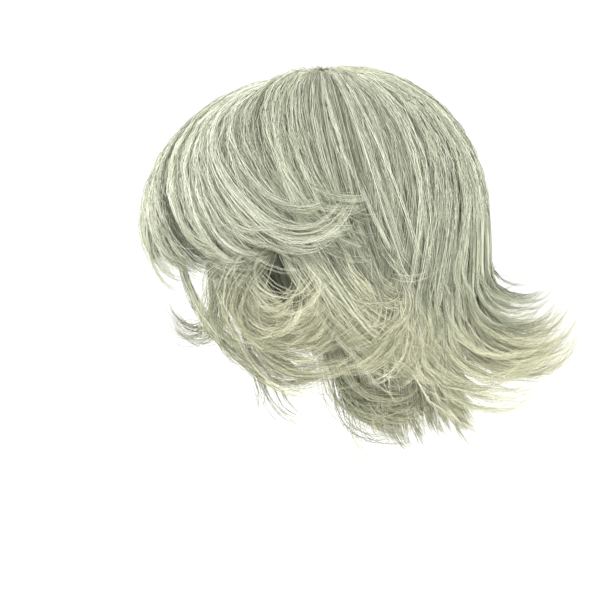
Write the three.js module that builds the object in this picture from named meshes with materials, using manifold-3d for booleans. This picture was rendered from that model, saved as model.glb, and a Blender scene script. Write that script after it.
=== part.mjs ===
// A short layered wig of straight grey hair with flicked ends, at its real size in millimetres.
// Up is +Z, the face looks along -Y and the wearer's left is +X.
// The origin is where the crown of a head touches the inside of the cap.
import * as THREE from 'three';
import Module from 'manifold-3d';

const wasm = await Module();
wasm.setup();

// The head that the cap is shaped for
const HEAD_HALF_WIDTH = 75;
const HEAD_HALF_LENGTH = 97;
const HEAD_RISE = 95;
const CROWN_BACK = 8;
const HEAD_CENTRE = new THREE.Vector3(0, -CROWN_BACK, -HEAD_RISE);
const EQUATOR = HEAD_RISE * Math.PI / 2;

// How far the cap draws in below the widest level, at the nape and over the ears
const NAPE_TUCK = 26;
const SIDE_TUCK = 6;
const TUCK_DEPTH = 70;
const TUCK_LIMIT = 1.3;
const NAPE_FOCUS = 1.5;

// The cap, its crown patch and the space between pieces
const CAP_WALL = 1.5;
const GAP = 0.35;
const PATCH_WALL = 0.8;
const PATCH_RADIUS = 7;
const CAP_TURN_STEPS = 30;
const CAP_FALL_STEPS = 6;
const PATCH_TURN_STEPS = 14;
const PATCH_FALL_STEPS = 1;

// The rim of the cap: angle from the front, and how far down the head it lies there
const CAP_RIM = [
  { angle: 0, fall: 105 },
  { angle: 30, fall: 113 },
  { angle: 48, fall: 138 },
  { angle: 60, fall: 168 },
  { angle: 70, fall: 168 },
  { angle: 85, fall: 150 },
  { angle: 105, fall: 154 },
  { angle: 130, fall: 186 },
  { angle: 155, fall: 210 },
  { angle: 180, fall: 218 },
];

// Each lock: where it is sewn on (at, root), how far down it reaches (drop), how far round it is
// swept and how late (sweep, bend), how far it stands off the head (lift), then the flick of its
// end (turn, radius, heading: 0 outward, 90 round toward a growing angle), and its width.
const COLUMNS = ['at', 'root', 'drop', 'sweep', 'bend', 'lift', 'turn', 'radius', 'heading', 'width'];
const FRINGE = [
  [-52, 10, 134, 14, 1.7, 20, 60, 40, 165, 36],
  [-42, 10, 132, 22, 1.7, 21, 60, 46, 165, 36],
  [-31, 10, 131, 30, 1.7, 21, 72, 44, 165, 36],
  [-20, 10, 134, 35, 1.7, 22, 72, 46, 155, 36],
  [-9, 10, 154, 40, 1.7, 22, 60, 44, 115, 36],
  [2, 10, 148, 49, 1.7, 22, 60, 40, 102, 36],
  [13, 10, 139, 55, 1.7, 22, 60, 40, 90, 36],
  [25, 10, 135, 57, 1.7, 22, 60, 38, 80, 36],
  [38, 10, 131, 54, 1.7, 22, 60, 34, 75, 36],
];
const CROWN = [
  [52, 10, 136, 45, 1.7, 24, 45, 34, 60, 36],
  [70, 10, 146, 36, 1.7, 25, 30, 34, 40, 36],
  [90, 10, 154, 26, 1.8, 25, 25, 34, 20, 36],
  [109, 10, 162, 15, 2.0, 25, 25, 30, 20, 38],
  [127, 10, 168, 4, 2.2, 25, 25, 30, -20, 38],
  [144, 10, 174, -6, 2.4, 26, 35, 30, -50, 38],
  [160, 10, 178, -12, 2.4, 27, 70, 28, -10, 38],
  [176, 10, 182, -4, 1.7, 27, 130, 26, 0, 38],
  [192, 10, 182, 4, 1.7, 27, 130, 26, 0, 38],
  [208, 10, 178, 12, 2.4, 27, 70, 28, 10, 38],
  [225, 10, 174, 6, 2.4, 26, 35, 30, 50, 38],
  [243, 10, 168, -4, 2.2, 25, 25, 30, 20, 38],
  [260, 10, 160, -13, 2.0, 25, 25, 30, -20, 38],
  [277, 10, 150, -18, 1.8, 24, 30, 32, -40, 38],
  [292, 10, 144, -16, 1.7, 23, 45, 34, -60, 38],
  [305, 10, 142, -8, 1.7, 21, 50, 34, -65, 36],
];
const SIDE = [
  [26, 96, 236, 46, 3.6, 10, 80, 41, 84, 5],
  [50, 96, 220, 27, 2.75, 13, 90, 42, 83, 20],
  [53, 96, 203, 22, 2.5, 17, 120, 33, 80, 18],
  [54, 96, 190, 17, 2.3, 18, 140, 27, 80, 16],
  [62, 96, 196, 20, 2.0, 2, 20, 30, 80, 44],
  [80, 96, 214, 42, 2.0, 26, 50, 40, 110, 20],
  [93, 96, 190, 22, 1.8, 25, 90, 24, 105, 24],
  [108, 96, 184, 12, 1.7, 25, 80, 22, 110, 26],
  [123, 96, 194, 8, 1.6, 26, 105, 26, -110, 26],
  [138, 96, 200, -3, 1.5, 27, 100, 30, -106, 26],
  [152, 96, 212, -13, 1.5, 27, 80, 22, 70, 24],
];
const BACK = [
  [146, 96, 216, 0, 1.7, 22, 132, 42, 34, 30],
  [157, 96, 208, 0, 1.7, 23, 142, 39, 24, 30],
  [168, 96, 206, 0, 1.7, 24, 146, 34, 12, 30],
  [180, 96, 210, 0, 1.7, 24, 146, 31, 0, 30],
  [192, 96, 206, 0, 1.7, 24, 146, 34, -12, 30],
  [204, 96, 208, 0, 1.7, 23, 142, 39, -24, 30],
  [215, 96, 216, 0, 1.7, 22, 132, 42, -34, 30],
];
const NAPE = [
  [98, 165, 242, 12, 1.7, 2, 130, 30, 80, 16],
  [106, 165, 258, 10, 1.7, 0, 125, 28, 75, 18],
  [116, 168, 261, 8, 1.7, 0, 100, 26, 60, 22],
  [130, 170, 262, 6, 1.7, 2, 60, 26, 30, 26],
  [146, 170, 266, 4, 1.7, 4, 50, 28, 10, 28],
  [162, 170, 267, 2, 1.7, 6, 55, 28, 0, 28],
  [178, 170, 268, 0, 1.7, 8, 55, 28, 0, 28],
  [194, 170, 267, -2, 1.7, 6, 55, 28, 0, 28],
  [210, 170, 264, -4, 1.7, 4, 50, 28, -10, 28],
  [226, 170, 258, -6, 1.7, 0, 70, 26, -30, 26],
  [242, 168, 250, -8, 1.7, 0, 100, 26, -60, 22],
];

// How the hair of a tier stands: a small puff leaves the head at once, a large one late
const FRINGE_STAND = { puff: 0.62, thickness: 8 };
const CROWN_STAND = { puff: 0.25, thickness: 8 };
const SIDE_STAND = { puff: 0.7, thickness: 7 };
const BACK_STAND = { puff: 0.7, thickness: 7 };
const NAPE_STAND = { puff: 1, thickness: 7 };

// The section of a lock and the weft that joins the roots of a tier
const SEAT = 3.2;
const LOCK_SIDES = 4;
const BODY_STEPS = 4;
const ROOT_CROWDING = 1.25;
const FLICK_STEP = 60;
const NEAR_END = 0.98;
const ROOT_WIDTH = 0.45;
const ROOT_SPREAD = 2;
const TIP_START = 0.6;
const TIP_WIDTH = 0.15;
const ROOT_THICKNESS = 0.5;
const TIP_THICKNESS = 0.3;
const WEFT_STEP = 20;
const WEFT_HEIGHT = 12;
const WEFT_THICKNESS = 3;
const WEFT_DROP = 4;

// How much wider a pointed section is made for each millimetre of clearance round it
const CLEARANCE_SPREAD = 3;

// Colours and finishes
const HAIR = { color: 0xb9bca3, roughness: 0.5, metalness: 0 };
const CAP_NET = { color: 0x77786c, roughness: 0.85, metalness: 0 };
const CROWN_SKIN = { color: 0xd8c3a4, roughness: 0.8, metalness: 0 };

const radians = THREE.MathUtils.degToRad;

// The head as a surface: an angle round it and a fall in millimetres from the crown
function reach(angle) {
  const turn = radians(angle);
  return 1 / Math.hypot(Math.sin(turn) / HEAD_HALF_WIDTH, Math.cos(turn) / HEAD_HALF_LENGTH);
}

function scalp(angle, fall) {
  const turn = radians(angle);
  const out = new THREE.Vector3(Math.sin(turn), -Math.cos(turn), 0);
  const radius = reach(angle);
  const bow = Math.min(fall, EQUATOR) / HEAD_RISE;
  const point = HEAD_CENTRE.clone().addScaledVector(out, radius * Math.sin(bow));
  point.y += CROWN_BACK * Math.cos(bow);
  point.z += HEAD_RISE * Math.cos(bow) - Math.max(0, fall - EQUATOR);
  const normal = out.multiplyScalar(Math.sin(bow) / radius);
  normal.z = Math.cos(bow) / HEAD_RISE;
  return { point, normal: normal.normalize() };
}

function tucked(angle, fall) {
  const facing = Math.cos(radians(angle));
  const depth = NAPE_TUCK * Math.max(0, -facing) ** NAPE_FOCUS + SIDE_TUCK * (1 - Math.abs(facing));
  return depth * Math.min(TUCK_LIMIT, Math.max(0, fall - EQUATOR) / TUCK_DEPTH) ** 2;
}

function rimFall(angle) {
  const turned = Math.abs(THREE.MathUtils.euclideanModulo(angle + 180, 360) - 180);
  const next = CAP_RIM.findIndex((row) => row.angle >= turned);
  const from = CAP_RIM[Math.max(0, next - 1)];
  const to = CAP_RIM[next];
  const span = Math.max(to.angle - from.angle, 1);
  return from.fall + (to.fall - from.fall) * (turned - from.angle) / span;
}

// Closed solids from rings of points; each ring runs counter-clockwise seen from the far end
function solid(points, faces) {
  const geometry = new THREE.BufferGeometry().setFromPoints(points);
  const vertProperties = new Float32Array(geometry.getAttribute('position').array);
  const triVerts = new Uint32Array(faces.flat());
  return new wasm.Manifold(new wasm.Mesh({ numProp: 3, vertProperties, triVerts }));
}

function skinRings(faces, first, second, count) {
  for (let k = 0; k < count; k += 1) {
    const next = (k + 1) % count;
    faces.push([first + k, first + next, second + next]);
    faces.push([first + k, second + next, second + k]);
  }
}

// A bowl that follows the head from the crown to a rim, between two distances off the head
function bowl(inner, outer, rim, turnSteps, fallSteps) {
  const points = [];
  const faces = [];
  const ringStart = (ring) => 2 + ring * turnSteps;
  const place = (angle, fall, off) => {
    const { point, normal } = scalp(angle, fall);
    return point.addScaledVector(normal, off - tucked(angle, fall));
  };
  points.push(place(0, 0, outer), place(0, 0, inner));
  for (let ring = 0; ring < 2 * fallSteps; ring += 1) {
    const outside = ring < fallSteps;
    const share = outside ? (ring + 1) / fallSteps : (2 * fallSteps - ring) / fallSteps;
    for (let k = 0; k < turnSteps; k += 1) {
      const angle = 360 * k / turnSteps;
      points.push(place(angle, rim(angle) * share, outside ? outer : inner));
    }
  }
  const last = 2 * fallSteps - 1;
  for (let k = 0; k < turnSteps; k += 1) {
    const next = (k + 1) % turnSteps;
    faces.push([0, ringStart(0) + k, ringStart(0) + next]);
    faces.push([1, ringStart(last) + next, ringStart(last) + k]);
  }
  for (let ring = 0; ring < last; ring += 1) {
    skinRings(faces, ringStart(ring + 1), ringStart(ring), turnSteps);
  }
  return solid(points, faces);
}

// A strip swept along stations that each have a point, a direction, a normal and two sizes
function strip(stations) {
  const points = [];
  const faces = [];
  for (const { point, along, normal, width, thickness } of stations) {
    const side = new THREE.Vector3().crossVectors(normal, along).normalize();
    const face = new THREE.Vector3().crossVectors(along, side).normalize();
    for (let k = 0; k < LOCK_SIDES; k += 1) {
      const turn = 2 * Math.PI * k / LOCK_SIDES;
      const corner = point.clone().addScaledVector(side, Math.cos(turn) * width / 2);
      points.push(corner.addScaledVector(face, Math.sin(turn) * thickness / 2));
    }
  }
  const end = (stations.length - 1) * LOCK_SIDES;
  for (let k = 1; k < LOCK_SIDES - 1; k += 1) {
    faces.push([0, k + 1, k]);
    faces.push([end, end + k, end + k + 1]);
  }
  for (let ring = 0; ring < end; ring += LOCK_SIDES) {
    skinRings(faces, ring, ring + LOCK_SIDES, LOCK_SIDES);
  }
  return solid(points, faces);
}

// The middle line of a lock: down the head first, then round the flick of its end
function lockLine(lock, puff) {
  const low = SEAT - tucked(lock.at, lock.root);
  const body = (share) => {
    const fall = lock.root + (lock.drop - lock.root) * share;
    const { point, normal } = scalp(lock.at + lock.sweep * share ** lock.bend, fall);
    return { point: point.addScaledVector(normal, low + (lock.lift - low) * share ** puff), normal };
  };
  const line = [];
  for (let i = 0; i <= BODY_STEPS; i += 1) {
    line.push(body((i / BODY_STEPS) ** ROOT_CROWDING));
  }
  const end = line[BODY_STEPS];
  const along = end.point.clone().sub(body(NEAR_END).point).normalize();
  const out = end.normal.clone().addScaledVector(along, -end.normal.dot(along)).normalize();
  const round = new THREE.Vector3().crossVectors(out, along);
  const heading = radians(lock.heading);
  const toward = out.clone().multiplyScalar(Math.cos(heading)).addScaledVector(round, Math.sin(heading));
  const across = out.clone().multiplyScalar(Math.sin(heading)).addScaledVector(round, -Math.cos(heading));
  const flickSteps = Math.ceil(lock.turn / FLICK_STEP);
  for (let i = 1; i <= flickSteps; i += 1) {
    const turn = radians(lock.turn * i / flickSteps);
    const point = end.point.clone().addScaledVector(along, lock.radius * Math.sin(turn));
    point.addScaledVector(toward, lock.radius * (1 - Math.cos(turn)));
    const normal = toward.clone().multiplyScalar(Math.cos(turn)).addScaledVector(along, -Math.sin(turn));
    normal.multiplyScalar(Math.cos(heading)).addScaledVector(across, Math.sin(heading));
    line.push({ point, normal });
  }
  return line;
}

// A lock narrows at its root and to its tip; grow makes the clearance round it
function lockSolid(lock, stand, grow) {
  const line = lockLine(lock, stand.puff);
  const last = line.length - 1;
  const stations = line.map(({ point, normal }, i) => {
    const share = i / last;
    const along = line[Math.min(i + 1, last)].point.clone().sub(line[Math.max(i - 1, 0)].point).normalize();
    const tip = Math.max(0, (share - TIP_START) / (1 - TIP_START)) ** 2;
    const width = lock.width * Math.min(1, ROOT_WIDTH + ROOT_SPREAD * share) * (1 - (1 - TIP_WIDTH) * tip);
    const thickness = stand.thickness * Math.min(1, ROOT_THICKNESS + share) * (1 - (1 - TIP_THICKNESS) * tip);
    const reachOut = i === 0 ? -grow : i === last ? grow : 0;
    const moved = point.clone().addScaledVector(along, reachOut);
    const extra = CLEARANCE_SPREAD * grow;
    return { point: moved, along, normal, width: width + extra, thickness: thickness + extra };
  });
  return strip(stations);
}

// The sewn band along the roots of a tier
function weftSolid(locks, grow) {
  const first = locks[0];
  const last = locks[locks.length - 1];
  const steps = Math.ceil(Math.abs(last.at - first.at) / WEFT_STEP);
  const width = WEFT_HEIGHT + CLEARANCE_SPREAD * grow;
  const thickness = WEFT_THICKNESS + CLEARANCE_SPREAD * grow;
  const stations = [];
  for (let i = 0; i <= steps; i += 1) {
    const angle = THREE.MathUtils.lerp(first.at, last.at, i / steps);
    const { point, normal } = scalp(angle, first.root + WEFT_DROP);
    point.addScaledVector(normal, SEAT - tucked(angle, first.root + WEFT_DROP));
    const turn = radians(angle);
    const along = new THREE.Vector3(Math.cos(turn), Math.sin(turn), 0);
    along.multiplyScalar(Math.sign(last.at - first.at));
    stations.push({ point, along, normal, width, thickness });
  }
  return strip(stations);
}

function tierSolid(locks, stand, grow) {
  let tier = weftSolid(locks, grow);
  for (const lock of locks) {
    tier = tier.add(lockSolid(lock, stand, grow));
  }
  return tier;
}

function largestBody(shape) {
  const bodies = shape.decompose();
  return bodies.reduce((best, body) => (body.volume() > best.volume() ? body : best));
}

function namedRows(rows) {
  return rows.map((row) => Object.fromEntries(COLUMNS.map((name, i) => [name, row[i]])));
}

function mirrored(lock) {
  return { ...lock, at: -lock.at, sweep: -lock.sweep, heading: -lock.heading };
}

function meshOf(name, shape, finish) {
  const { vertProperties, triVerts } = shape.getMesh();
  const geometry = new THREE.BufferGeometry();
  geometry.setAttribute('position', new THREE.BufferAttribute(new Float32Array(vertProperties), 3));
  geometry.setIndex(new THREE.BufferAttribute(new Uint32Array(triVerts), 1));
  geometry.computeVertexNormals();
  const mesh = new THREE.Mesh(geometry, new THREE.MeshStandardMaterial(finish));
  mesh.name = name;
  return mesh;
}

// Outer tiers keep their form and each later tier is cleared from those before it
const TIERS = [
  { name: 'crown_locks', locks: namedRows(CROWN), stand: CROWN_STAND },
  { name: 'fringe_locks', locks: namedRows(FRINGE), stand: FRINGE_STAND },
  { name: 'back_locks', locks: namedRows(BACK), stand: BACK_STAND },
  { name: 'left_locks', locks: namedRows(SIDE), stand: SIDE_STAND },
  { name: 'right_locks', locks: namedRows(SIDE).map(mirrored), stand: SIDE_STAND },
  { name: 'nape_locks', locks: namedRows(NAPE), stand: NAPE_STAND },
];

const group = new THREE.Group();
group.name = 'wig';

const cap = bowl(0, CAP_WALL, rimFall, CAP_TURN_STEPS, CAP_FALL_STEPS);
group.add(meshOf('cap', cap, CAP_NET));

const patchLow = CAP_WALL + GAP;
const patch = bowl(patchLow, patchLow + PATCH_WALL, () => PATCH_RADIUS, PATCH_TURN_STEPS, PATCH_FALL_STEPS);
group.add(meshOf('crown_patch', patch, CROWN_SKIN));

let taken = bowl(-2 * GAP, CAP_WALL + GAP, (angle) => rimFall(angle) + GAP, CAP_TURN_STEPS, CAP_FALL_STEPS);
for (const { name, locks, stand } of TIERS) {
  const shape = largestBody(tierSolid(locks, stand, 0).subtract(taken));
  taken = taken.add(tierSolid(locks, stand, GAP));
  group.add(meshOf(name, shape, HAIR));
}

export default group;
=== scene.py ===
"""A short layered wig of silver-grey hair: its net cap, its crown patch and its layers of strands.

Sizes are in millimetres and angles in degrees until a mesh is made. Up is +Z, the face looks along -Y
and the wearer's left is +X.
"""
import math

import bpy
import numpy as np
from mathutils import Matrix, Vector


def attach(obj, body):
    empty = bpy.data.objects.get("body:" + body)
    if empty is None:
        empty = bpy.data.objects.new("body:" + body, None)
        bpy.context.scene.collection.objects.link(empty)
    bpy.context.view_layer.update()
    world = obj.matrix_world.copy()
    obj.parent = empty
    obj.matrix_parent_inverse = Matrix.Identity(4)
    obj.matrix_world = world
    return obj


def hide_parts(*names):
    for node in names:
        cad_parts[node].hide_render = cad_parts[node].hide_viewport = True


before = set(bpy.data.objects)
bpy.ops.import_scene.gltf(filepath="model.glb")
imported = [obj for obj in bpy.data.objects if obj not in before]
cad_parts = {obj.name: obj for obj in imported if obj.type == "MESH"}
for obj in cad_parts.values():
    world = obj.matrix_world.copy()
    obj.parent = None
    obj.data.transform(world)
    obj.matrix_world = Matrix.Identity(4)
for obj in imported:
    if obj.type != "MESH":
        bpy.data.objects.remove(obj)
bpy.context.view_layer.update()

MM = 0.001
SEED = 7

# The head that the cap is shaped for
HEAD_HALF_WIDTH = 75
HEAD_HALF_LENGTH = 97
HEAD_RISE = 95
CROWN_BACK = 8
HEAD_CENTRE = np.array([0, -CROWN_BACK, -HEAD_RISE])
EQUATOR = HEAD_RISE * math.pi / 2

# How far the head narrows below its widest part, and where that stops
NAPE_TUCK = 26
NAPE_FOCUS = 1.5
SIDE_TUCK = 6
TUCK_DEPTH = 70
TUCK_LIMIT = 1.3

# The cap and its crown patch
CAP_WALL = 1.5
GAP = 0.35
PATCH_WALL = 0.8
PATCH_RADIUS = 7
CAP_TURN_STEPS = 90
CAP_FALL_STEPS = 28
PATCH_FALL_STEPS = 4
CAP_RIM_ANGLE = [0, 30, 48, 60, 70, 85, 105, 130, 155, 180]
CAP_RIM_FALL = [105, 113, 138, 168, 168, 150, 154, 186, 210, 218]

# Each lock is a row: where it is sewn on (at: the angle round the head, root: the fall from the crown),
# how far down it reaches (drop), how far round it is swept and how late (sweep, bend), how far its end
# stands off the head (lift), then the flick of its end (turn, radius, heading: 0 is outward and 90 round
# toward a growing angle), and its width.
COLUMNS = ("at", "root", "drop", "sweep", "bend", "lift", "turn", "radius", "heading", "width")
MIRRORED_COLUMNS = ("at", "sweep", "heading")
FRINGE = [
    (-52, 10, 134, 14, 1.7, 20, 60, 40, 165, 36),
    (-42, 10, 132, 22, 1.7, 21, 60, 46, 165, 36),
    (-31, 10, 131, 30, 1.7, 21, 72, 44, 165, 36),
    (-20, 10, 134, 35, 1.7, 22, 72, 46, 155, 36),
    (-9, 10, 154, 40, 1.7, 22, 60, 44, 115, 36),
    (2, 10, 148, 49, 1.7, 22, 60, 40, 102, 36),
    (13, 10, 139, 55, 1.7, 22, 60, 40, 90, 36),
    (25, 10, 135, 57, 1.7, 22, 60, 38, 80, 36),
    (38, 10, 131, 54, 1.7, 22, 60, 34, 75, 36),
]
CROWN_LEFT = [
    (52, 10, 136, 45, 1.7, 24, 45, 34, 60, 36),
    (70, 10, 146, 36, 1.7, 25, 30, 34, 40, 36),
    (90, 10, 154, 26, 1.8, 25, 25, 34, 20, 36),
    (109, 10, 162, 15, 2.0, 25, 25, 30, 20, 38),
    (127, 10, 168, 4, 2.2, 25, 25, 30, -20, 38),
    (144, 10, 174, -6, 2.4, 26, 35, 30, -50, 38),
    (160, 10, 178, -12, 2.4, 27, 70, 28, -10, 38),
    (176, 10, 182, -4, 1.7, 27, 130, 26, 0, 38),
]
CROWN_RIGHT = [
    (192, 10, 182, 4, 1.7, 27, 130, 26, 0, 38),
    (208, 10, 178, 12, 2.4, 27, 70, 28, 10, 38),
    (225, 10, 174, 6, 2.4, 26, 35, 30, 50, 38),
    (243, 10, 168, -4, 2.2, 25, 25, 30, 20, 38),
    (260, 10, 160, -13, 2.0, 25, 25, 30, -20, 38),
    (277, 10, 150, -18, 1.8, 24, 30, 32, -40, 38),
    (292, 10, 144, -16, 1.7, 23, 45, 34, -60, 38),
    (305, 10, 142, -8, 1.7, 21, 50, 34, -65, 36),
]
# The left side from the face to the back, which the right side mirrors
FACE_LOCK = [
    (26, 96, 236, 46, 3.6, 10, 80, 41, 84, 5),
]
CURLS = [
    (50, 96, 220, 27, 2.75, 13, 90, 42, 83, 20),
    (53, 96, 203, 22, 2.5, 17, 120, 33, 80, 18),
    (54, 96, 190, 17, 2.3, 18, 140, 27, 80, 16),
]
WAVES = [
    (80, 96, 214, 42, 2.0, 26, 50, 40, 110, 20),
    (93, 96, 190, 22, 1.8, 25, 90, 24, 105, 24),
    (108, 96, 184, 12, 1.7, 25, 80, 22, 110, 26),
    (123, 96, 194, 8, 1.6, 26, 105, 26, -110, 26),
    (138, 96, 200, -3, 1.5, 27, 100, 30, -106, 26),
    (152, 96, 212, -13, 1.5, 27, 80, 22, 70, 24),
]
# The back, with its ends flipped out
BACK = [
    (146, 96, 216, 0, 1.7, 22, 132, 42, 34, 30),
    (157, 96, 208, 0, 1.7, 23, 142, 39, 24, 30),
    (168, 96, 206, 0, 1.7, 24, 146, 34, 12, 30),
    (180, 96, 210, 0, 1.7, 24, 146, 31, 0, 30),
    (192, 96, 206, 0, 1.7, 24, 146, 34, -12, 30),
    (204, 96, 208, 0, 1.7, 23, 142, 39, -24, 30),
    (215, 96, 216, 0, 1.7, 22, 132, 42, -34, 30),
]
# The nape: loops behind the left ear, then the locks round the neck
NAPE_LOOPS = [
    (98, 165, 242, 12, 1.7, 2, 130, 30, 80, 16),
    (106, 165, 258, 10, 1.7, 0, 125, 28, 75, 18),
    (116, 168, 261, 8, 1.7, 0, 100, 26, 60, 22),
]
NAPE = [
    (130, 170, 262, 6, 1.7, 2, 60, 26, 30, 26),
    (146, 170, 266, 4, 1.7, 4, 50, 28, 10, 28),
    (162, 170, 267, 2, 1.7, 6, 55, 28, 0, 28),
    (178, 170, 268, 0, 1.7, 8, 55, 28, 0, 28),
    (194, 170, 267, -2, 1.7, 6, 55, 28, 0, 28),
    (210, 170, 264, -4, 1.7, 4, 50, 28, -10, 28),
    (226, 170, 258, -6, 1.7, 0, 70, 26, -30, 26),
    (242, 168, 250, -8, 1.7, 0, 100, 26, -60, 22),
]
# A bright flick that lies on the ends of the fringe, and near-black strands laid on top of the fringe as
# painted shade for the crease behind its front lock
FLICK = [
    (20, 40, 141, 59, 1.7, 27, 105, 42, 80, 7),
]
PAINTED_CREASE_SHADE = [
    (15, 100, 162, 36, 1.6, 27.5, 20, 38, 110, 4),
]
# A lock that starts behind the dark hole at the temple and goes round it from above
SWIRL = [
    (84, 138, 176, -18, 1.0, 21, 165, 23, 88, 14),
]
# Hair on the brow, which closes the view between the locks of the fringe, in a dark grey that is painted
# shade under the fringe
BROW = [
    (-24, 98, 146, 22, 1.7, 15, 25, 30, 120, 40),
    (-2, 98, 154, 22, 1.7, 17, 25, 30, 110, 34),
    (16, 98, 158, 21, 1.7, 18, 25, 30, 100, 34),
    (40, 98, 146, 22, 1.7, 14, 20, 30, 90, 34),
]
# Hair that lies close to the head under the curls and waves of each side, in a dark grey that is painted
# shade
LINING = [
    (62, 96, 196, 20, 2.0, 2, 20, 30, 80, 44),
    (88, 120, 214, 20, 1.7, 4, 20, 30, 150, 40),
]
# Hair inside the nape, which closes the view between its locks, in a dark grey that is painted shade
NAPE_LINING = [
    (120, 168, 244, 4, 1.7, -6, 30, 30, 40, 32),
    (140, 168, 250, 2, 1.7, -4, 20, 30, 10, 46),
    (170, 168, 252, 0, 1.7, -2, 20, 30, 0, 46),
    (200, 168, 250, -2, 1.7, -4, 20, 30, 0, 46),
    (232, 168, 244, -4, 1.7, -6, 30, 30, -40, 40),
]
# Thin wisps: one that flicks forward beside the mouth, and curls on the neck; the face wisp is in a dark
# grey that is painted shade, which the neck wisps share
FACE_WISP = [
    (46, 96, 192, 6, 2.0, 7, 165, 27, -90, 8),
]
NECK_WISPS = [
    (62, 190, 256, 14, 1.4, 8, 75, 26, 80, 4),
    (61, 190, 252, 12, 1.4, 8, 50, 24, -80, 4),
    (68, 190, 260, 16, 1.4, 8, 40, 30, 80, 4),
]

# The under strip of a lock, which closes the view between its strands: the share of the lock that it
# reaches along, its thickness, how far it sinks below the strands, and how late it narrows (taper)
TOP_UNDER = {"reach": 0.75, "thickness": 2.4, "sink": 3.2, "taper": 6}
SIDE_UNDER = {"reach": 0.7, "thickness": 2.1, "sink": 3.2, "taper": 6}
BACK_UNDER = {"reach": 0.6, "thickness": 2.1, "sink": 3.2, "taper": 6}
NAPE_UNDER = {"reach": 0.66, "thickness": 2.1, "sink": 0.8, "taper": 2.5}
LINING_UNDER = {"reach": 0.8, "thickness": 1.5, "sink": 3.2, "taper": 6}

# How the hair of a layer stands:
# puff: a small one leaves the head at once, a large one late
# relief, sway: how far its clumps lie above and below each other, and wave from side to side
# clump, gather: the half width of a clump, and the part of it that is left at the tip
# stray, loose: how uneven its clumps are, and the loose wisps between them
# feather: how unequal its strands are in length
# wave, frizz: how far a strand wanders, and the share of strands that fly away
# tone, grain: the mean grey of its strands, and how far single strands depart from it; the low tones of
# the lining, brow, crease and wisp layers are painted shade
# under: the under strip of each lock, where there is one
FRINGE_STAND = {
    "puff": 0.62, "relief": 1.6, "sway": 1.0, "clump": 3.2, "gather": 0.75, "stray": 0.9, "loose": 1.3,
    "feather": 0.1, "wave": 0.35, "frizz": 0.04, "tone": 0.58, "grain": 0.18, "under": TOP_UNDER,
}
CROWN_STAND = {
    "puff": 0.25, "relief": 1.6, "sway": 0.8, "clump": 3.2, "gather": 0.8, "stray": 0.8, "loose": 1.1,
    "feather": 0.14, "wave": 0.35, "frizz": 0.04, "tone": 0.41, "grain": 0.15, "under": TOP_UNDER,
}
CURL_STAND = {
    "puff": 0.7, "relief": 2.2, "sway": 1.5, "clump": 3.6, "gather": 0.6, "stray": 0.85, "loose": 1.05,
    "feather": 0.1, "wave": 1.0, "frizz": 0.2, "tone": 0.67, "grain": 0.23, "under": SIDE_UNDER,
}
WAVE_STAND = {
    "puff": 0.7, "relief": 2.2, "sway": 4.0, "clump": 3.6, "gather": 0.5, "stray": 1.3, "loose": 1.5,
    "feather": 0.12, "wave": 1.2, "frizz": 0.35, "tone": 0.7, "grain": 0.2, "under": SIDE_UNDER,
}
BACK_STAND = {
    "puff": 0.7, "relief": 2.2, "sway": 1.5, "clump": 3.6, "gather": 0.4, "stray": 1.0, "loose": 1.1,
    "feather": 0.1, "wave": 0.8, "frizz": 0.15, "tone": 0.59, "grain": 0.23, "under": BACK_UNDER,
}
NAPE_STAND = {
    "puff": 1, "relief": 2.2, "sway": 2.5, "clump": 3.6, "gather": 0.5, "stray": 0.95, "loose": 1.0,
    "feather": 0.1, "wave": 0.9, "frizz": 0.2, "tone": 0.45, "grain": 0.15, "under": NAPE_UNDER,
}
# The dark tone of the lining is painted shade
PAINTED_SHADE_LINING_STAND = {
    "puff": 0.7, "relief": 1.0, "sway": 2.0, "clump": 4.6, "gather": 0.8, "stray": 1.0, "loose": 1.5,
    "feather": 0.1, "wave": 0.9, "frizz": 0.4, "tone": 0.39, "grain": 0.2, "under": LINING_UNDER,
}
# The dark tone of the nape lining is painted shade
PAINTED_SHADE_NAPE_LINING_STAND = {
    "puff": 1, "relief": 1.5, "sway": 2.0, "clump": 4.6, "gather": 0.7, "stray": 1.0, "loose": 1.5,
    "feather": 0.12, "wave": 0.9, "frizz": 0.1, "tone": 0.3, "grain": 0.23, "under": None,
}
# The dark tone of the brow hair is painted shade under the fringe
PAINTED_SHADE_BROW_STAND = {
    "puff": 0.62, "relief": 1.0, "sway": 1.0, "clump": 4.0, "gather": 0.8, "stray": 0.8, "loose": 1.2,
    "feather": 0.1, "wave": 0.6, "frizz": 0.1, "tone": 0.22, "grain": 0.23, "under": None,
}
FACE_STAND = {
    "puff": 0.7, "relief": 1.0, "sway": 0.6, "clump": 1.7, "gather": 0.7, "stray": 0.3, "loose": 0.8,
    "feather": 0.1, "wave": 0.8, "frizz": 0.12, "tone": 0.62, "grain": 0.23, "under": None,
}
SWIRL_STAND = {
    "puff": 0.7, "relief": 2.0, "sway": 1.5, "clump": 2.6, "gather": 0.7, "stray": 0.7, "loose": 1.9,
    "feather": 0.14, "wave": 1.2, "frizz": 0.4, "tone": 0.56, "grain": 0.23, "under": None,
}
FLICK_STAND = {
    "puff": 0.62, "relief": 0.8, "sway": 0.5, "clump": 2.6, "gather": 0.6, "stray": 0.4, "loose": 0.6,
    "feather": 0.1, "wave": 0.4, "frizz": 0.1, "tone": 0.64, "grain": 0.23, "under": None,
}
# The near-black tone of the crease is painted shade
PAINTED_CREASE_SHADE_STAND = {
    "puff": 0.62, "relief": 0.5, "sway": 0.3, "clump": 2.2, "gather": 0.6, "stray": 0.25, "loose": 0.4,
    "feather": 0.12, "wave": 0.3, "frizz": 0, "tone": 0.14, "grain": 0.23, "under": None,
}
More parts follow.
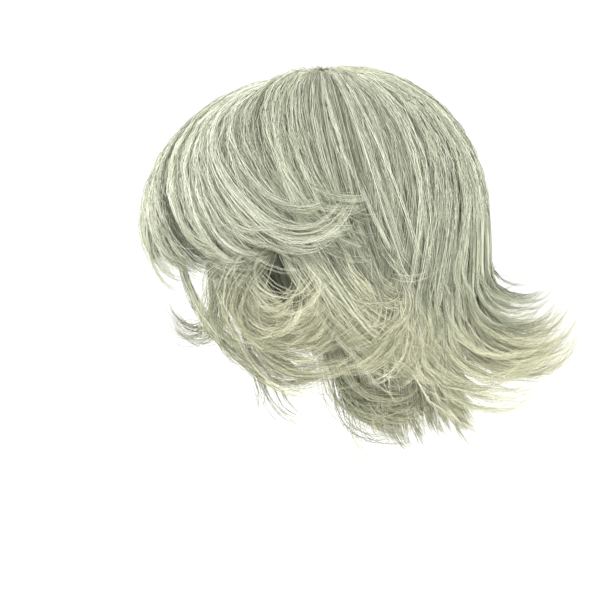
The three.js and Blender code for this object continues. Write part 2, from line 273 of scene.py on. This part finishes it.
# The dark tone of the wisps is painted shade
PAINTED_SHADE_WISP_STAND = {
    "puff": 0.7, "relief": 1.2, "sway": 1.0, "clump": 3.0, "gather": 0.7, "stray": 0.6, "loose": 0.8,
    "feather": 0.1, "wave": 0.8, "frizz": 0.15, "tone": 0.25, "grain": 0.23, "under": None,
}
NECK_STAND = {**PAINTED_SHADE_WISP_STAND, "clump": 0.9, "stray": 0.3, "loose": 0.5}

# The middle line of a lock: how far its root stands off the head, and its steps, closer at the root
SEAT = 3.2
BODY_STEPS = 14
FLICK_STEPS = 12
ROOT_CROWDING = 1.25
NEAR_END = 0.98

# How far a clump departs from its lock where the stray is 1: turn and radius by a share of themselves
STRAY_LIMIT = 1.7
DROP_STRAY = 8
SWEEP_STRAY = 3
LIFT_STRAY = 1.2
TURN_STRAY = 0.13
RADIUS_STRAY = 0.1
HEADING_STRAY = 7

# Where clumps lie across a lock, how uneven their roots are, how much shorter the lock is at its edges,
# and how fast they wave
ACROSS_STRAY = 0.12
EDGE_INSET = 0.6
ROOT_STRAY = (-7, 3)
EDGE_CUT = 5
SWAY_PACE = (5, 11)

# The form of a strand: a thin prism that gets thinner from TIP_START on
STRAND_RADIUS = 0.18
STRAND_CORNERS = (90, 210, 330)
TIP_START = 0.55
TIP_THINNING = 0.6

# How strands lie in a clump, which widens from its root, and how they differ in length and wander
CLUMP_HALF_DEPTH = 1.6
CLUMP_ROOT = 0.55
CLUMP_SPREAD = 1.8
START_STRAY = 0.1
LONGEST_CUT = 0.4
WANDER_PACE = (2, 8)
WANDER_DEPTH = 0.6
FLYAWAY_WANDER = 4.0

# What makes a strand lighter or darker than its layer, where 0 is the darkest tone and 1 the lightest:
# random greys of lock and clump, then painted light and shade: higher clumps painted lighter, a painted
# highlight on the ridge of each clump, painted shade at its edges and painted light at the roots
LOCK_TONE_STRAY = 0.03
CLUMP_TONE_STRAY = 0.1
PAINTED_RAISED_LIGHT = 0.06
PAINTED_RIDGE_LIGHT = 0.08
PAINTED_EDGE_SHADE = 0.24
PAINTED_ROOT_LIGHT = 0.18
PAINTED_ROOT_LIGHT_REACH = 0.16
TONE_RANGE = (0.02, 0.98)

# The form of every under strip, and how its streaks differ from lock to lock
UNDER_SIDES = 6
UNDER_STEPS = 14
UNDER_START = 0.1
UNDER_WIDTH = 0.8
UNDER_ROOT = 0.45
UNDER_SPREAD = 2
UNDER_NARROWING = 0.9
UNDER_EDGE = 0.3
STREAK_SHIFT = 0.37
STREAK_BREADTH = 0.2

# The look of the hair: tones from the darkest strand to the lightest, tints from root to tip (the warm
# tip tint is painted warm light), its shine, and the streaks of the under strips, whose dark tones are
# painted shade
HAIR_TONES = [
    (0.0, (0.1, 0.11, 0.07)),
    (0.35, (0.37, 0.39, 0.285)),
    (0.65, (0.68, 0.71, 0.55)),
    (1.0, (1.0, 1.0, 0.9)),
]
# The under strips are painted in dark greys as shade
PAINTED_SHADE_UNDER_TONES = [
    (0.3, (0.1, 0.105, 0.07)),
    (0.5, (0.26, 0.27, 0.195)),
    (0.72, (0.5, 0.515, 0.39)),
]
ROOT_TINT = (1, 0.94, 0.84)
ROOT_TINT_REACH = 0.15
NO_TINT = (1, 1, 1)
COOL_TIP = (1, 0.99, 0.95)
# The warm tip is painted warm light from the skin below, reflected by and shining through the hair
PAINTED_WARM_LIGHT_TIP = (1, 0.962, 0.815)
HAIR_ROUGHNESS = 0.38
HAIR_GLOSS = 0.45
UNDER_ROUGHNESS = 0.6
STREAK_SCALE = (420, 3, 1)
STREAK_DETAIL = 3

# The nets of the cap and the crown patch: the colours of ground and thread, and how close threads lie
CAP_NET = {"dark": (0.1, 0.1, 0.085), "light": (0.42, 0.42, 0.36), "threads": 190}
PATCH_NET = {"dark": (0.72, 0.6, 0.46), "light": (0.92, 0.8, 0.64), "threads": 600}
# Every net: the height in the weave where the ground ends and where a thread is full, and its surface
NET_GROUND = 0.45
NET_THREAD = 0.85
NET_UNEVENNESS = 0.4
NET_RELIEF = 0.4
NET_RELIEF_STRENGTH = 0.5
NET_ROUGHNESS = 0.85

# The view of the photograph: the whorl lies at WHORL_PIXEL of a square image. WHORL and CAMERA_DISTANCE
# are in metres.
IMAGE_SIZE = 600
WHORL_PIXEL = (322, 80)
WHORL = Vector((0, 0, 6)) * MM
MM_PER_PIXEL = 0.69
CAMERA_AZIMUTH = 97
CAMERA_ELEVATION = 10
CAMERA_DISTANCE = 1.6
SENSOR = 36

# Floor and light, in metres and watts
FLOOR_LEVEL = -0.45
FLOOR_SIZE = 60
FLOOR_COLOUR = (0.95, 0.95, 0.94, 1)
FLOOR_ROUGHNESS = 0.9
SKY_COLOUR = (1, 1, 1, 1)
SKY_STRENGTH = 1.1
LIGHT_TARGET = (0, 0, -0.1)
LIGHTS = [
    {"name": "key", "place": (0.9, -1.2, 0.8), "size": 1.0, "power": 20},
    {"name": "back", "place": (0.7, 1.3, 0.6), "size": 0.8, "power": 14},
]


# The head as a surface: an angle round it and a fall in millimetres from the crown
def head_radius(angle):
    turn = np.radians(angle)
    return 1 / np.hypot(np.sin(turn) / HEAD_HALF_WIDTH, np.cos(turn) / HEAD_HALF_LENGTH)


def scalp(angle, fall):
    turn = np.radians(angle)
    radius = head_radius(angle)
    bow = np.minimum(fall, EQUATOR) / HEAD_RISE
    hang = np.maximum(0, fall - EQUATOR)
    out_x, out_y = np.sin(turn), -np.cos(turn)
    point = np.stack([
        out_x * radius * np.sin(bow),
        out_y * radius * np.sin(bow) + CROWN_BACK * np.cos(bow),
        HEAD_RISE * np.cos(bow) - hang,
    ], -1) + HEAD_CENTRE
    lean = np.sin(bow) / radius
    normal = np.stack([out_x * lean, out_y * lean, np.cos(bow) / HEAD_RISE], -1)
    return point, unit(normal)


def tucked(angle, fall):
    """How far the head lies inside the surface of scalp, below its widest part."""
    facing = np.cos(np.radians(angle))
    depth = NAPE_TUCK * np.maximum(0, -facing) ** NAPE_FOCUS + SIDE_TUCK * (1 - np.abs(facing))
    return depth * np.minimum(TUCK_LIMIT, np.maximum(0, fall - EQUATOR) / TUCK_DEPTH) ** 2


def unit(vectors):
    return vectors / np.linalg.norm(vectors, axis=-1, keepdims=True)


def dot(first, second):
    return np.sum(first * second, -1, keepdims=True)


# Rows of locks
def named_columns(rows):
    return {name: np.array(values, float) for name, values in zip(COLUMNS, zip(*rows))}


def mirrored(rows):
    return [
        tuple(-value if name in MIRRORED_COLUMNS else value for name, value in zip(COLUMNS, row))
        for row in rows
    ]


# The middle lines of many locks at once: down the head first, then round the flick of the end
def lock_lines(locks, puff):
    column = {name: np.asarray(value, float)[:, None] for name, value in locks.items()}
    low = SEAT - tucked(column["at"], column["root"])

    def body(share):
        fall = column["root"] + (column["drop"] - column["root"]) * share
        point, normal = scalp(column["at"] + column["sweep"] * share ** column["bend"], fall)
        off = low + (column["lift"] - low) * share ** puff
        return point + normal * off[..., None], normal

    points, normals = body(np.linspace(0, 1, BODY_STEPS + 1)[None] ** ROOT_CROWDING)
    end, end_normal = points[:, -1:], normals[:, -1:]
    along = unit(end - body(np.array([[NEAR_END]]))[0])
    out = unit(end_normal - along * dot(end_normal, along))
    round_head = np.cross(out, along)
    heading = np.radians(column["heading"])[..., None]
    toward = out * np.cos(heading) + round_head * np.sin(heading)
    across = out * np.sin(heading) - round_head * np.cos(heading)
    turn = np.radians(column["turn"] * np.arange(1, FLICK_STEPS + 1) / FLICK_STEPS)[..., None]
    radius = column["radius"][..., None]
    flick = end + radius * (along * np.sin(turn) + toward * (1 - np.cos(turn)))
    inward = toward * np.cos(turn) - along * np.sin(turn)
    flick_normals = inward * np.cos(heading) + across * np.sin(heading)
    return np.concatenate([points, flick], 1), np.concatenate([normals, flick_normals], 1)


def line_frames(points, normals):
    """The directions across each line and outward from it, at each of its points."""
    along = unit(np.gradient(points, axis=1))
    side = unit(np.cross(normals, along))
    return side, np.cross(along, side)


def sampled(lines, share):
    """Each row of lines at its own places: share runs from 0 at the root to 1 at the tip."""
    last = lines.shape[1] - 1
    place = np.clip(share, 0, 1) * last
    low = np.minimum(place.astype(int), last - 1)
    row = np.arange(len(lines))[:, None]
    part = (place - low)[..., None]
    return lines[row, low] * (1 - part) + lines[row, low + 1] * part


# Clumps: copies of a lock set side by side across its width, each a little different
def clumps_of(rows, stand, count, stray, chance):
    column = named_columns(rows)
    locks = {name: np.repeat(values, count) for name, values in column.items()}
    total = len(rows) * count

    def vary(spread):
        return spread * stray * np.clip(chance.normal(0, 1, total), -STRAY_LIMIT, STRAY_LIMIT)

    across = np.tile(np.linspace(-1, 1, count), len(rows))
    across = across + chance.uniform(-ACROSS_STRAY, ACROSS_STRAY, total)
    depth = chance.uniform(-1, 1, total)
    half_turn = np.degrees((locks["width"] / 2 - stand["clump"] * EDGE_INSET) / HEAD_HALF_LENGTH)
    locks["at"] = locks["at"] + across * half_turn
    locks["root"] = locks["root"] + chance.uniform(*ROOT_STRAY, total)
    locks["drop"] = locks["drop"] + vary(DROP_STRAY) - EDGE_CUT * np.abs(across)
    locks["sweep"] = locks["sweep"] + vary(SWEEP_STRAY)
    locks["lift"] = locks["lift"] + depth * stand["relief"] + vary(LIFT_STRAY)
    locks["turn"] = locks["turn"] * (1 + vary(TURN_STRAY))
    locks["radius"] = locks["radius"] * (1 + vary(RADIUS_STRAY))
    locks["heading"] = locks["heading"] + vary(HEADING_STRAY)
    lock_tone = np.repeat(chance.normal(0, LOCK_TONE_STRAY, len(rows)), count)
    clump_tone = chance.normal(0, CLUMP_TONE_STRAY, total)
    # Clumps that stand higher are painted lighter and deeper ones darker: painted light and shade
    return locks, stand["tone"] + lock_tone + clump_tone + PAINTED_RAISED_LIGHT * depth


def swayed(points, normals, size, chance):
    """Each clump in soft waves from side to side, which grow toward its tip."""
    share = np.linspace(0, 1, points.shape[1])[None]
    phase = chance.uniform(0, 2 * math.pi, (len(points), 1))
    pace = chance.uniform(*SWAY_PACE, (len(points), 1))
    sideways = size * share * np.sin(pace * share + phase)
    return points + line_frames(points, normals)[0] * sideways[..., None]


# Strands: each has its own place in a clump, wanders from it and gathers to its tip
def strand_arrays(rows, stand, clump_count, strand_count, steps, stray, chance):
    locks, clump_tone = clumps_of(rows, stand, clump_count, stray, chance)
    points, normals = lock_lines(locks, stand["puff"])
    points = swayed(points, normals, stand["sway"], chance)
    sides, faces = line_frames(points, normals)
    owner = np.repeat(np.arange(len(points)), strand_count)
    total = len(owner)
    start = chance.uniform(0, START_STRAY, total)[:, None]
    cut = np.minimum(LONGEST_CUT, np.abs(chance.normal(0, stand["feather"], total)))[:, None]
    share = start + (1 - cut - start) * np.linspace(0, 1, steps + 1)[None]
    side = unit(sampled(sides[owner], share))
    face = unit(sampled(faces[owner], share))
    angle = chance.uniform(0, 2 * math.pi, total)[:, None]
    radius = np.sqrt(chance.uniform(0, 1, total))[:, None]
    across, above = radius * np.cos(angle), radius * np.sin(angle)
    root_width = np.minimum(1, CLUMP_ROOT + CLUMP_SPREAD * share)
    gather = root_width * (1 - (1 - stand["gather"]) * share ** 2)
    side_wander, face_wander = wander(share, stand, chance)
    sideways = across * stand["clump"] * gather + side_wander
    outward = above * CLUMP_HALF_DEPTH * gather + face_wander
    centre = sampled(points[owner], share) + side * sideways[..., None] + face * outward[..., None]
    tone = strand_tones(clump_tone[owner][:, None], across, share, stand["grain"], chance)
    return centre, side, face, tone, share


def wander(share, stand, chance):
    """How far each strand leaves its place sideways and outward, more and more toward its tip."""
    total = len(share)
    flyaway = chance.uniform(0, 1, total)[:, None] < stand["frizz"]
    size = np.where(flyaway, FLYAWAY_WANDER, stand["wave"]) * share
    phase = chance.uniform(0, 2 * math.pi, (2, total, 1))
    pace = chance.uniform(*WANDER_PACE, (total, 1))
    sideways = size * np.sin(pace * share + phase[0])
    outward = size * WANDER_DEPTH * np.sin(pace * share + phase[1])
    return sideways, outward


def strand_tones(clump_tone, across, share, grain, chance):
    """The grey of each strand: its own grey, with painted light on the ridge of its clump and at the
    root, and painted shade at the edges.
    """
    own = grain * chance.normal(0, 1, len(share))[:, None]
    # Painted highlight on the ridge of each clump and painted shade at its edges
    painted_ridge_and_edge_shade = PAINTED_RIDGE_LIGHT - PAINTED_EDGE_SHADE * across ** 2
    # Painted light at the roots of every strand
    painted_root_light = PAINTED_ROOT_LIGHT * np.clip(1 - share / PAINTED_ROOT_LIGHT_REACH, 0, 1)
    return np.clip(clump_tone + own + painted_ridge_and_edge_shade + painted_root_light, *TONE_RANGE)


# Point, triangle and map-coordinate arrays of many like forms in one mesh
def tube_triangles(sides, rings):
    """The wall of a tube that has its points in rings, two triangles to a side."""
    triangles = []
    for low in range(0, (rings - 1) * sides, sides):
        high = low + sides
        for k in range(sides):
            after = (k + 1) % sides
            triangles += [(low + k, low + after, high + after), (low + k, high + after, high + k)]
    return triangles


def repeated(triangles, total, points_each):
    first_point = np.arange(total)[:, None, None] * points_each
    return (first_point + np.array(triangles)[None]).reshape(-1, 3)


def prism_arrays(centre, side, face, tone, share):
    """One closed prism with three sides and a pointed tip along each strand."""
    total, rings = centre.shape[0], centre.shape[1] - 1
    sides = len(STRAND_CORNERS)
    thinning = TIP_THINNING * np.clip((share - TIP_START) / (1 - TIP_START), 0, 1)
    radius = STRAND_RADIUS * (1 - thinning)
    corners = []
    for turn in np.radians(STRAND_CORNERS):
        offset = side * math.cos(turn) + face * math.sin(turn)
        corners.append(centre + offset * radius[..., None])
    tip = rings * sides
    last = tip - sides
    ring_points = np.stack(corners, 2)[:, :rings].reshape(total, tip, 3)
    points = np.concatenate([ring_points, centre[:, -1:]], 1)
    triangles = tube_triangles(sides, rings)
    triangles += [(last + k, last + (k + 1) % sides, tip) for k in range(sides)]
    triangles.append((2, 1, 0))
    ring_place = np.minimum(np.arange(tip + 1) // sides, rings)
    maps = np.stack([tone[:, ring_place], share[:, ring_place]], -1)
    return points.reshape(-1, 3), repeated(triangles, total, tip + 1), maps.reshape(-1, 2)


def under_arrays(rows, stand):
    """One flattened tapered strip along each lock, below its strands."""
    under = stand["under"]
    total = len(rows)
    column = named_columns(rows)
    points, normals = lock_lines(column, stand["puff"])
    sides, faces = line_frames(points, normals)
    share = np.tile(np.linspace(UNDER_START, under["reach"], UNDER_STEPS)[None], (total, 1))
    centre = sampled(points, share)
    side = unit(sampled(sides, share))
    face = unit(sampled(faces, share))
    root_width = np.minimum(1, UNDER_ROOT + UNDER_SPREAD * share)
    taper = root_width * (1 - UNDER_NARROWING * (share / under["reach"]) ** under["taper"])
    half_width = column["width"][:, None] / 2 * UNDER_WIDTH * taper
    half_depth = under["thickness"] / 2 * (UNDER_EDGE + (1 - UNDER_EDGE) * taper)
    corners = []
    for turn in 2 * math.pi * np.arange(UNDER_SIDES) / UNDER_SIDES:
        sideways = half_width * math.cos(turn)
        outward = half_depth * math.sin(turn) - under["sink"]
        corners.append(centre + side * sideways[..., None] + face * outward[..., None])
    end = (UNDER_STEPS - 1) * UNDER_SIDES
    triangles = tube_triangles(UNDER_SIDES, UNDER_STEPS)
    for k in range(1, UNDER_SIDES - 1):
        triangles += [(0, k + 1, k), (end, end + k, end + k + 1)]
    turn_place = np.tile(np.arange(UNDER_SIDES) / UNDER_SIDES, UNDER_STEPS)
    lock_shift = np.arange(total)[:, None] * STREAK_SHIFT % 1
    across = (turn_place[None] * STREAK_BREADTH + lock_shift) % 1
    maps = np.stack([across, np.repeat(share, UNDER_SIDES, 1)], -1)
    points = np.stack(corners, 2)
    return points.reshape(-1, 3), repeated(triangles, total, end + UNDER_SIDES), maps.reshape(-1, 2)


# Meshes
def mesh_object(name, points, triangles, maps):
    mesh = bpy.data.meshes.new(name)
    mesh.vertices.add(len(points))
    mesh.vertices.foreach_set("co", (points * MM).astype(np.float32).ravel())
    mesh.loops.add(triangles.size)
    mesh.loops.foreach_set("vertex_index", triangles.astype(np.int32).ravel())
    mesh.polygons.add(len(triangles))
    mesh.polygons.foreach_set("loop_start", np.arange(0, triangles.size, 3, dtype=np.int32))
    mesh.polygons.foreach_set("use_smooth", np.ones(len(triangles), dtype=bool))
    mesh.update(calc_edges=True)
    loop_maps = maps[triangles.ravel()].astype(np.float32).ravel()
    for layer_name in ("strand", "OFBake"):
        layer = mesh.uv_layers.new(name=layer_name)
        layer.data.foreach_set("uv", loop_maps)
    mesh.validate()
    piece = bpy.data.objects.new(name, mesh)
    bpy.context.collection.objects.link(piece)
    return piece


def bowl_object(name, inner, outer, rim, fall_steps):
    """A bowl that follows the head from the crown to a rim, between two distances off the head."""
    angle = np.arange(CAP_TURN_STEPS) * 360 / CAP_TURN_STEPS
    down = np.arange(1, fall_steps + 1) / fall_steps
    shares = np.concatenate([down, down[::-1]])
    offs = np.repeat([outer, inner], fall_steps)
    rings = []
    for share, off in zip(shares, offs):
        fall = rim(angle) * share
        point, normal = scalp(angle, fall)
        rings.append(point + normal * (off - tucked(angle, fall))[:, None])
    top = np.array([[0, 0, outer], [0, 0, inner]])
    points = np.concatenate([top] + rings)
    triangles = []
    first = len(top)
    last = first + (len(rings) - 1) * CAP_TURN_STEPS
    for k in range(CAP_TURN_STEPS):
        after = (k + 1) % CAP_TURN_STEPS
        triangles += [(0, first + k, first + after), (1, last + after, last + k)]
        for low in range(first, last, CAP_TURN_STEPS):
            high = low + CAP_TURN_STEPS
            triangles += [(high + k, high + after, low + after), (high + k, low + after, low + k)]
    mesh = bpy.data.meshes.new(name)
    mesh.from_pydata((points * MM).tolist(), [], triangles)
    mesh.polygons.foreach_set("use_smooth", np.ones(len(triangles), dtype=bool))
    mesh.update()
    piece = bpy.data.objects.new(name, mesh)
    bpy.context.collection.objects.link(piece)
    return piece


def cap_rim(angle):
    turned = np.abs((angle + 180) % 360 - 180)
    return np.interp(turned, CAP_RIM_ANGLE, CAP_RIM_FALL)


def patch_rim(angle):
    return np.full(angle.shape, PATCH_RADIUS)


# Materials
def new_material(name):
    material = bpy.data.materials.new(name)
    material.use_nodes = True
    tree = material.node_tree
    return material, tree, tree.nodes["Principled BSDF"]


def add_node(tree, kind, **settings):
    node = tree.nodes.new(kind)
    for name, value in settings.items():
        setattr(node, name, value)
    return node


def colour_ramp(tree, stops):
    node = add_node(tree, "ShaderNodeValToRGB")
    elements = node.color_ramp.elements
    while len(elements) < len(stops):
        elements.new(0.5)
    for element, (place, colour) in zip(elements, stops):
        element.position = place
        element.color = (*colour, 1)
    return node


def hair_material(name, tip):
    """Each strand has its own grey, a little warmer at the root, and takes a tint toward its tip; on the
    warm look this tint is painted warm light.
    """
    material, tree, shader = new_material(name)
    link = tree.links.new
    where = add_node(tree, "ShaderNodeUVMap", uv_map="strand")
    split = add_node(tree, "ShaderNodeSeparateXYZ")
    link(where.outputs["UV"], split.inputs[0])
    tones = colour_ramp(tree, HAIR_TONES)
    link(split.outputs["X"], tones.inputs["Fac"])
    tints = colour_ramp(tree, [(0.0, ROOT_TINT), (ROOT_TINT_REACH, NO_TINT), (1.0, tip)])
    link(split.outputs["Y"], tints.inputs["Fac"])
    shade = add_node(tree, "ShaderNodeMix", data_type="RGBA", blend_type="MULTIPLY")
    shade.inputs["Factor"].default_value = 1
    link(tones.outputs["Color"], shade.inputs["A"])
    link(tints.outputs["Color"], shade.inputs["B"])
    link(shade.outputs["Result"], shader.inputs["Base Color"])
    shader.inputs["Roughness"].default_value = HAIR_ROUGHNESS
    shader.inputs["Specular IOR Level"].default_value = HAIR_GLOSS
    return material


def under_material():
    """The hair below the top strands: fine streaks along the lock, in dark tones that are painted shade.
    """
    material, tree, shader = new_material("hair_under")
    link = tree.links.new
    where = add_node(tree, "ShaderNodeUVMap", uv_map="strand")
    stretch = add_node(tree, "ShaderNodeMapping")
    stretch.inputs["Scale"].default_value = STREAK_SCALE
    link(where.outputs["UV"], stretch.inputs["Vector"])
    streaks = add_node(tree, "ShaderNodeTexNoise", noise_dimensions="2D")
    streaks.inputs["Scale"].default_value = 1
    streaks.inputs["Detail"].default_value = STREAK_DETAIL
    link(stretch.outputs["Vector"], streaks.inputs["Vector"])
    tones = colour_ramp(tree, PAINTED_SHADE_UNDER_TONES)
    link(streaks.outputs["Fac"], tones.inputs["Fac"])
    link(tones.outputs["Color"], shader.inputs["Base Color"])
    shader.inputs["Roughness"].default_value = UNDER_ROUGHNESS
    return material


def net_material(name, dark, light, threads):
    """Fine net: two crossing sets of threads over a darker ground."""
    material, tree, shader = new_material(name)
    link = tree.links.new
    where = add_node(tree, "ShaderNodeTexCoord")
    weave = add_node(tree, "ShaderNodeMath", operation="MAXIMUM")
    for place, axis in enumerate(("X", "Z")):
        wave = add_node(tree, "ShaderNodeTexWave", wave_type="BANDS", bands_direction=axis)
        wave.inputs["Scale"].default_value = threads
        wave.inputs["Distortion"].default_value = NET_UNEVENNESS
        link(where.outputs["Object"], wave.inputs["Vector"])
        link(wave.outputs["Fac"], weave.inputs[place])
    tones = colour_ramp(tree, [(NET_GROUND, dark), (NET_THREAD, light)])
    link(weave.outputs["Value"], tones.inputs["Fac"])
    link(tones.outputs["Color"], shader.inputs["Base Color"])
    bump = add_node(tree, "ShaderNodeBump")
    bump.inputs["Strength"].default_value = NET_RELIEF_STRENGTH
    bump.inputs["Distance"].default_value = NET_RELIEF * MM
    link(weave.outputs["Value"], bump.inputs["Height"])
    link(bump.outputs["Normal"], shader.inputs["Normal"])
    shader.inputs["Roughness"].default_value = NET_ROUGHNESS
    return material


# Pieces
def place_piece(piece, node, material):
    piece.data.materials.append(material)
    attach(piece, "root")
    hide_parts(node)


def add_cap():
    material = net_material("cap_net", **CAP_NET)
    cap = bowl_object("cap_net", 0, CAP_WALL, cap_rim, CAP_FALL_STEPS)
    place_piece(cap, "cap", material)


def add_crown_patch():
    material = net_material("crown_skin", **PATCH_NET)
    low = CAP_WALL + GAP
    patch = bowl_object("crown_skin", low, low + PATCH_WALL, patch_rim, PATCH_FALL_STEPS)
    place_piece(patch, "crown_patch", material)


# Layers of hair: piece, node that it stands for, its locks, how it stands, its look, steps along a
# strand, clumps a lock and strands a clump, then the same for the loose wisps between them
LAYERS = [
    ("crown_left_hair", "crown_locks", CROWN_LEFT, CROWN_STAND, "cool", 9, (12, 24), (18, 4)),
    ("crown_right_hair", "crown_locks", CROWN_RIGHT, CROWN_STAND, "cool", 8, (11, 15), (12, 4)),
    ("fringe_hair", "fringe_locks", FRINGE, FRINGE_STAND, "cool", 10, (12, 21), (18, 4)),
    ("left_curls", "left_locks", CURLS, CURL_STAND, "warm", 11, (9, 21), (25, 4)),
    ("left_face_lock", "left_locks", FACE_LOCK, FACE_STAND, "warm", 12, (4, 24), (10, 3)),
    ("left_swirl", "left_locks", SWIRL, SWIRL_STAND, "warm", 12, (6, 16), (26, 4)),
    ("left_waves", "left_locks", WAVES, WAVE_STAND, "warm", 10, (10, 18), (28, 4)),
    ("left_lining", "left_locks", LINING, PAINTED_SHADE_LINING_STAND, "cool", 8, (12, 16), (10, 4)),
    ("right_curls", "right_locks", mirrored(CURLS), CURL_STAND, "warm", 8, (8, 13), (12, 3)),
    ("right_face_lock", "right_locks", mirrored(FACE_LOCK), FACE_STAND, "warm", 10, (4, 20), (8, 3)),
    ("right_waves", "right_locks", mirrored(WAVES), WAVE_STAND, "warm", 7, (8, 13), (12, 3)),
    ("right_lining", "right_locks", mirrored(LINING), PAINTED_SHADE_LINING_STAND, "cool", 6, (12, 12), (8, 4)),
    ("back_hair", "back_locks", BACK, BACK_STAND, "warm", 9, (11, 21), (22, 4)),
    ("nape_loops", "nape_locks", NAPE_LOOPS, NAPE_STAND, "warm", 10, (6, 12), (20, 3)),
    ("nape_hair", "nape_locks", NAPE, NAPE_STAND, "warm", 8, (10, 19), (22, 3)),
    ("brow_hair", "fringe_locks", BROW, PAINTED_SHADE_BROW_STAND, "cool", 6, (10, 9), (8, 3)),
    ("nape_lining", "nape_locks", NAPE_LINING, PAINTED_SHADE_NAPE_LINING_STAND, "warm", 6, (12, 12), (10, 3)),
    ("fringe_flick", "fringe_locks", FLICK, FLICK_STAND, "cool", 12, (3, 15), (6, 4)),
    ("fringe_painted_crease_shade", "fringe_locks", PAINTED_CREASE_SHADE, PAINTED_CREASE_SHADE_STAND, "cool", 12, (3, 20), (4, 3)),
    ("left_face_wisp", "left_locks", FACE_WISP, PAINTED_SHADE_WISP_STAND, "warm", 12, (5, 18), (10, 3)),
    ("left_neck_wisps", "left_locks", NECK_WISPS, NECK_STAND, "warm", 12, (2, 4), (3, 2)),
]


def hair_arrays(rows, stand, steps, clumps, wisps, chance):
    full = strand_arrays(rows, stand, *clumps, steps, stand["stray"], chance)
    loose = strand_arrays(rows, stand, *wisps, steps, stand["loose"], chance)
    return prism_arrays(*[np.concatenate(pair) for pair in zip(full, loose)])


def add_hair():
    looks = {
        "cool": hair_material("hair_silver", COOL_TIP),
        "warm": hair_material("hair_silver_warm", PAINTED_WARM_LIGHT_TIP),
    }
    under_look = under_material()
    chance = np.random.default_rng(SEED)
    for name, node, rows, stand, look, steps, clumps, wisps in LAYERS:
        hair = mesh_object(name, *hair_arrays(rows, stand, steps, clumps, wisps, chance))
        place_piece(hair, node, looks[look])
        if stand["under"]:
            strips = mesh_object(name + "_under", *under_arrays(rows, stand))
            place_piece(strips, node, under_look)


# Floor, light and camera
def add_floor():
    bpy.ops.mesh.primitive_plane_add(size=FLOOR_SIZE, location=(0, 0, FLOOR_LEVEL))
    floor = bpy.context.object
    floor.name = "floor"
    material, _, shader = new_material("floor_white")
    shader.inputs["Base Color"].default_value = FLOOR_COLOUR
    shader.inputs["Roughness"].default_value = FLOOR_ROUGHNESS
    floor.data.materials.append(material)


def add_sky():
    world = bpy.data.worlds.new("studio")
    bpy.context.scene.world = world
    world.use_nodes = True
    sky = world.node_tree.nodes["Background"]
    sky.inputs["Color"].default_value = SKY_COLOUR
    sky.inputs["Strength"].default_value = SKY_STRENGTH


def add_area_light(name, place, size, power):
    light = bpy.data.lights.new(name, "AREA")
    light.shape = "DISK"
    light.size = size
    light.energy = power
    lamp = bpy.data.objects.new(name, light)
    lamp.location = place
    lamp.rotation_euler = (Vector(LIGHT_TARGET) - Vector(place)).to_track_quat("-Z", "Y").to_euler()
    bpy.context.collection.objects.link(lamp)


def add_camera():
    azimuth = math.radians(CAMERA_AZIMUTH)
    elevation = math.radians(CAMERA_ELEVATION)
    back = Vector((
        math.sin(azimuth) * math.cos(elevation),
        -math.cos(azimuth) * math.cos(elevation),
        math.sin(elevation),
    ))
    right = Vector((math.cos(azimuth), math.sin(azimuth), 0))
    up = back.cross(right)
    pixel = MM_PER_PIXEL * MM
    from_middle = [(place - IMAGE_SIZE / 2) * pixel for place in WHORL_PIXEL]
    target = WHORL - right * from_middle[0] + up * from_middle[1]
    camera = bpy.data.cameras.new("camera")
    camera.sensor_width = SENSOR
    camera.lens = SENSOR * CAMERA_DISTANCE / (IMAGE_SIZE * pixel)
    holder = bpy.data.objects.new("camera", camera)
    turn = Matrix((right, up, back)).transposed().to_4x4()
    holder.matrix_world = Matrix.Translation(target + back * CAMERA_DISTANCE) @ turn
    bpy.context.collection.objects.link(holder)
    bpy.context.scene.camera = holder


add_cap()
add_crown_patch()
add_hair()
add_floor()
add_sky()
for light in LIGHTS:
    add_area_light(**light)
add_camera()
bpy.context.scene.view_settings.view_transform = "Standard"
